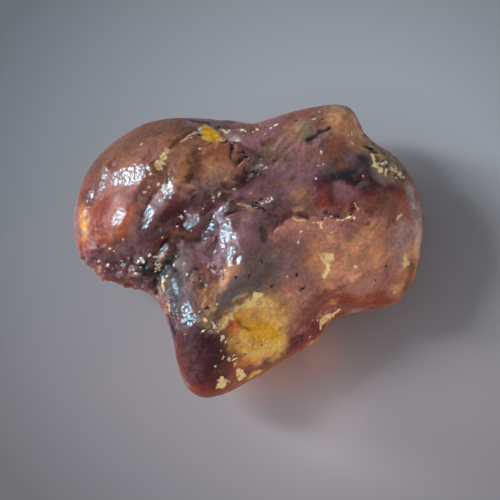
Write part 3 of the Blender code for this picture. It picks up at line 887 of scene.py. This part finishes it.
BIT_WIDTHS, BIT_THICKNESSES = (0.3, 0.8), (0.1, 0.3)  # in a bit's own size
BUBBLES, BUBBLE_DEPTHS, BUBBLE_SIZES = 60, (0.5, 2.5), (0.08, 0.25)
LUMPINESS, LUMP_WAVES = 0.45, 1.3
FLECK = (0.35, 0.65)  # the noise between which a sealed thing's colour goes from dark to light


def lump(bm, centre, half, normal, turn, seed, rings=2):
    """A closed, uneven lump with the given half sizes, lying flat against the normal."""
    made = bmesh.ops.create_icosphere(bm, subdivisions=rings, radius=1)["verts"]
    facing = Vector(normal).to_track_quat("Z", "Y").to_matrix()
    cos, sin = math.cos(math.radians(turn)), math.sin(math.radians(turn))
    for vertex in made:
        swell = 1 + LUMPINESS * noise.noise(vertex.co * LUMP_WAVES + Vector((seed, seed * 2.1, 0.0)))
        x, y, z = vertex.co * swell
        x, y, z = x * half[0], y * half[1], z * half[2]
        vertex.co = facing @ Vector((x * cos - y * sin, x * sin + y * cos, z)) + Vector(centre)


def sealed_piece(name, lumps, material, rings=2):
    """One object of many lumps, each a centre, half sizes, normal and turn in mm."""
    bm = bmesh.new()
    for seed, (centre, half, normal, turn) in enumerate(lumps):
        lump(bm, centre, half, normal, turn, seed * 0.73, rings)
    for vertex in bm.verts:
        vertex.co *= MM
    mesh = bpy.data.meshes.new(name)
    bm.to_mesh(mesh)
    bm.free()
    mesh.shade_smooth()
    mesh.materials.append(material)
    piece = add_object(name, mesh)
    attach(piece, BODY)


def sealed_material(name, dark, light, scale, settings):
    material, tree, shader = shader_of(name)
    fleck = map_range(tree, noise_node(tree, scale), *FLECK)
    set_inputs(tree, shader, {"Base Color": mix_colour(tree, fleck, dark, light), **settings})
    return material


def add_sealed(skin, places):
    """Flakes, plant debris and gas bubbles under the skin, at the places seen and at random ones."""
    inside = tree_of(skin)
    random = np.random.default_rng(SEALED_SEED)

    def below(point, depth):
        hit, normal, _, _ = inside.find_nearest(Vector(point))
        return hit - normal * depth, normal

    def stray(depths, sizes):
        start = skin.vertices[random.integers(len(skin.vertices))].co
        return *below(start, random.uniform(*depths)), random.uniform(*sizes)

    def placed(rows):
        found = []
        for px, py, depth, a, b, c, turn in rows:
            centre, normal = below(places.at(px, py), depth)
            found.append((centre, (a, b, c), normal, turn))
        return found

    flakes, debris, bubbles = placed(SEALED_FLAKES), placed(SEALED_DEBRIS), []
    for number in range(STRAY_BITS):
        centre, normal, size = stray(BIT_DEPTHS, BIT_SIZES)
        shape = (size, size * random.uniform(*BIT_WIDTHS), size * random.uniform(*BIT_THICKNESSES))
        (flakes if number % 2 else debris).append((centre, shape, normal, random.uniform(0, 180)))
    for _ in range(BUBBLES):
        centre, normal, size = stray(BUBBLE_DEPTHS, BUBBLE_SIZES)
        bubbles.append((centre, (size, size, size), normal, 0))
    cream = sealed_material("sealed_flake", GOLD, CREAM, 2500.0, {"Roughness": 0.35})
    bark = sealed_material("sealed_bark", SOOT, UMBER, 1800.0, {"Roughness": 0.7})
    clear = {"Roughness": 0.03, "IOR": 1.3, "Transmission Weight": 1.0}
    gas = sealed_material("sealed_gas", (0.97, 0.9, 0.8), (1.0, 0.96, 0.9), 900.0, clear)
    sealed_piece("sealed_flakes", flakes, cream)
    sealed_piece("sealed_debris", debris, bark)
    sealed_piece("sealed_bubbles", bubbles, gas, 3)


# ---- materials: sizes in m, and noise scales per m
SPAN = (0.3, 0.7)  # what nearly all of a noise lies between
MASK_CUT = (0.42, 0.58)


def set_inputs(tree, node, values):
    """Link each of a node's inputs to another node's output, or set it to a value."""
    for key, value in values.items():
        socket = node.inputs[key]
        if isinstance(value, bpy.types.NodeSocket):
            tree.links.new(value, socket)
        elif socket.type == "RGBA":
            socket.default_value = (*value, 1)
        else:
            socket.default_value = value


def add_node(tree, kind, output, values, **settings):
    """An output of a new node, with its inputs linked or set."""
    node = tree.nodes.new("ShaderNode" + kind)
    for key, value in settings.items():
        setattr(node, key, value)
    set_inputs(tree, node, values)
    return node.outputs[output]


def place_node(tree, space="Object"):
    return add_node(tree, "TexCoord", space, {})


def axis_node(tree, axis, space="Object"):
    return add_node(tree, "SeparateXYZ", axis, {0: place_node(tree, space)})


def mask_node(tree, name, output="Fac"):
    return add_node(tree, "Attribute", output, {}, attribute_name=name)


def noise_node(tree, scale, detail=3.0, roughness=0.6, place=None):
    place = place_node(tree) if place is None else place
    values = {"Vector": place, "Scale": scale, "Detail": detail, "Roughness": roughness}
    return add_node(tree, "TexNoise", "Fac", values)


def streak_node(tree, along, across):
    """Noise drawn out along the direction of the flow."""
    turn = {"Vector": place_node(tree), "Rotation": (0.0, 0.0, -FLOW_TURN)}
    squeeze = {"Vector": add_node(tree, "Mapping", "Vector", turn), "Scale": (along, across, across)}
    return noise_node(tree, 1.0, 4.0, 0.65, add_node(tree, "Mapping", "Vector", squeeze))


def mix_colour(tree, fac, a, b, way="MIX"):
    return add_node(tree, "Mix", 2, {0: fac, 6: a, 7: b}, data_type="RGBA", blend_type=way)


def multiply(tree, colour, value):
    return mix_colour(tree, 1.0, colour, value, "MULTIPLY")


def map_range(tree, value, low, high, to_low=0.0, to_high=1.0):
    values = {"Value": value, "From Min": low, "From Max": high, "To Min": to_low, "To Max": to_high}
    return add_node(tree, "MapRange", "Result", values)


def math_node(tree, operation, a, b=0.0):
    return add_node(tree, "Math", 0, {0: a, 1: b}, operation=operation)


def shader_of(name):
    material = bpy.data.materials.new(name)
    material.use_nodes = True
    return material, material.node_tree, material.node_tree.nodes["Principled BSDF"]


def broken_mask(tree, name, scale, ragged):
    """A stored mask cut off sharply at its half, with its edge broken up by fine noise."""
    fray = math_node(tree, "SUBTRACT", noise_node(tree, scale, 2.0), 0.5)
    fray = math_node(tree, "MULTIPLY", fray, ragged)
    return map_range(tree, math_node(tree, "ADD", mask_node(tree, name), fray), *MASK_CUT)


# What is the same all over the amber, and what it absorbs.
AMBER = {
    "IOR": 1.54,
    "Transmission Weight": 0.25,
    "Specular IOR Level": 0.05,
    "Subsurface Radius": (1.0, 0.7, 0.5),
    "Subsurface Scale": 0.0012,
    "Coat Roughness": 0.06,
    "Coat IOR": 1.5,
}
ABSORPTION = {"Color": (0.93, 0.45, 0.12), "Density": 200.0}
AMBER_ROUGHNESS = (0.75, 0.4)  # where the crust is dull and where it has its usual gloss
UNDER_FLAKES = 0.15  # what is left of the scattering under flakes and painted glints
# Stored masks: the scale of the noise that breaks up their edges, and how much it does.
MASK_EDGES = {"flakes": (3000.0, 0.9), "sparks": (6500.0, 2.0), "dots": (5000.0, 1.6)}
FLAKE_FLECK = (0.25, 0.48)  # as FLECK, for the flakes that show on the skin
UNEVEN = (0.8, 1.1)  # how far down and up the roughness goes
GLOSS_CELLS = (0.43, 0.55, 0.15, 1.2)  # noise where the gloss is least and most, and its share there


def amber_material():
    material, tree, shader = shader_of("amber")
    colour = mask_node(tree, "skin", "Color")
    # Noise that the colour is multiplied by, and how far down and up it takes it.
    for grain, low, high in (
        (noise_node(tree, 420.0, 4.0), 0.72, 1.28),
        (streak_node(tree, 450.0, 1500.0), 0.8, 1.2),
        (noise_node(tree, 2600.0, 2.0), 0.82, 1.18),
        (noise_node(tree, 6000.0, 1.0), 0.9, 1.1),
    ):
        colour = multiply(tree, colour, map_range(tree, grain, *SPAN, low, high))
    fleck = map_range(tree, noise_node(tree, 1900.0, 2.0), *FLAKE_FLECK)
    flake = mix_colour(tree, fleck, OCHRE, CREAM)
    flakes, sparks, dots = (broken_mask(tree, name, *edge) for name, edge in MASK_EDGES.items())
    colour = mix_colour(tree, dots, colour, SOOT)
    colour = mix_colour(tree, flakes, colour, flake)
    # Painted glints over the flakes.
    colour = mix_colour(tree, sparks, colour, PAINTED_GLINT)

    gloss = mask_node(tree, "gloss")
    worn = map_range(tree, gloss, DULL_GLOSS, BASE_GLOSS, *AMBER_ROUGHNESS)
    uneven = map_range(tree, noise_node(tree, 700.0), *SPAN, *UNEVEN)
    cells = map_range(tree, noise_node(tree, 3200.0, 2.0), *GLOSS_CELLS)

    # Bumps one over the other: height, how strong and how high in m.
    dent = add_node(tree, "TexVoronoi", "Distance", {"Vector": place_node(tree), "Scale": 2300.0})
    hammered = math_node(tree, "MULTIPLY", math_node(tree, "MULTIPLY", dent, dent), -1.0)
    bump = {}
    for height, strength, distance in (
        (noise_node(tree, 1300.0, 1.0), 1.0, 0.00008),
        (noise_node(tree, 2300.0, 2.0), mask_node(tree, "crumbled"), 0.00016),
        (hammered, 1.0, 0.000065),
    ):
        values = {"Height": height, "Strength": strength, "Distance": distance, **bump}
        bump = {"Normal": add_node(tree, "Bump", "Normal", values)}

    solid = math_node(tree, "MAXIMUM", flakes, sparks)
    set_inputs(tree, shader, {
        "Base Color": colour,
        "Roughness": math_node(tree, "MULTIPLY", worn, uneven),
        "Subsurface Weight": map_range(tree, solid, 0.0, 1.0, 1.0, UNDER_FLAKES),
        "Coat Weight": math_node(tree, "MULTIPLY", gloss, cells),
        "Coat Normal": bump["Normal"],
        **bump,
        **AMBER,
    })
    absorbed = add_node(tree, "VolumeAbsorption", "Volume", ABSORPTION)
    set_inputs(tree, tree.nodes["Material Output"], {"Volume": absorbed})
    return material


# ---- the stage
FLOOR_HALF = 1.5
FLOOR_POOL_MIDDLE = (0.012, 0.005)  # a painted pool of light: where the floor is palest, and how far from there it grows dim
FLOOR_POOL_REACH = (0.019, 0.048)
FLOOR_POOL_DIM = 0.38
FLOOR_COOL = (0.345, 0.356, 0.379)
FLOOR_WARM = (0.412, 0.368, 0.381)
FLOOR_WARMING = (0.008, -0.014)  # how far forward it turns from cool to warm


def add_floor():
    mesh = bpy.data.meshes.new("floor")
    corners = [(x * FLOOR_HALF, y * FLOOR_HALF, 0) for x, y in ((-1, -1), (1, -1), (1, 1), (-1, 1))]
    mesh.from_pydata(corners, [], [(0, 1, 2, 3)])
    mesh.update()
    floor = add_object("floor", mesh)
    material, tree, shader = shader_of("floor")
    squares = [
        math_node(tree, "POWER", math_node(tree, "SUBTRACT", axis_node(tree, axis), middle), 2.0)
        for axis, middle in enumerate(FLOOR_POOL_MIDDLE)
    ]
    # A painted pool of light: the floor paler near its middle and dimmer away from it.
    away = math_node(tree, "SQRT", math_node(tree, "ADD", *squares))
    tint = mix_colour(tree, map_range(tree, axis_node(tree, 1), *FLOOR_WARMING), FLOOR_COOL, FLOOR_WARM)
    tint = multiply(tree, tint, map_range(tree, away, *FLOOR_POOL_REACH, 1.0, FLOOR_POOL_DIM))
    set_inputs(tree, shader, {"Base Color": tint, "Roughness": 0.8})
    mesh.materials.append(material)
    return floor


# Small lights for what the amber lets through to the floor: the place and the radius in mm, the
# power and the colour.
GLOW_COLOUR = (1.0, 0.3, 0.05)
GLOWS = [
    ((-0.2, -14.0, 2.2), 1.6, 0.00006, GLOW_COLOUR),
    ((3.0, -12.6, 2.4), 1.8, 0.00009, GLOW_COLOUR),
    ((7.5, -10.2, 2.6), 2.0, 0.00011, GLOW_COLOUR),
    ((9.5, -18.0, 5.5), 3.0, 0.00048, (1.0, 0.93, 0.95)),
]
ROOM_COLOUR = (0.95, 0.95, 1.0)
ROOM_LIGHT = (0.8, 0.14)  # brightness of the room near the floor and overhead


def area_light(name, towards, size, power, colour):
    """A soft light that faces the piece from the given direction."""
    data = bpy.data.lights.new(name, "AREA")
    data.shape = "RECTANGLE"
    data.size, data.size_y = size
    data.energy = power
    data.color = colour
    light = add_object(name, data)
    light.location = towards * LIGHT_DISTANCE
    light.rotation_euler = towards.to_track_quat("Z", "Y").to_euler()
    return light


def floor_collection(name, floor):
    collection = bpy.data.collections.new(name)
    collection.objects.link(floor)
    return collection


def add_light(floor):
    window = area_light("window", *WINDOW)
    window.visible_glossy = False
    card = area_light("reflection_card", *CARD)
    card.visible_diffuse = False
    card.visible_transmission = False
    fill = area_light("fill", *FILL)
    fill.visible_glossy = False
    only_floor = floor_collection("lit_by_glows", floor)
    all_but_floor = floor_collection("unlit_by_fill", floor)
    all_but_floor.collection_objects[0].light_linking.link_state = "EXCLUDE"
    fill.light_linking.receiver_collection = all_but_floor
    for number, (place, radius, power, colour) in enumerate(GLOWS):
        data = bpy.data.lights.new(f"glow_{number}", "POINT")
        data.energy = power
        data.color = colour
        data.shadow_soft_size = radius * MM
        glow = add_object(data.name, data)
        glow.location = Vector(place) * MM
        glow.visible_camera = glow.visible_glossy = glow.visible_transmission = False
        glow.light_linking.receiver_collection = only_floor
    world = bpy.data.worlds.new("room")
    world.use_nodes = True
    tree = world.node_tree
    strength = map_range(tree, axis_node(tree, 2, "Generated"), 0.0, 1.0, *ROOM_LIGHT)
    set_inputs(tree, tree.nodes["Background"], {"Color": ROOM_COLOUR, "Strength": strength})
    bpy.context.scene.world = world


def main():
    bpy.context.scene.view_settings.view_transform = "Standard"
    add_camera()
    skin, places, moved = carved_body()
    paint(skin, places, moved)
    add_sealed(skin, places)
    write_points(skin, read_points(skin) * MM)
    skin.shade_smooth()
    skin.materials.clear()
    skin.materials.append(amber_material())
    piece = add_object("amber_body", skin)
    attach(piece, BODY)
    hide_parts(NODE)
    add_light(add_floor())


main()
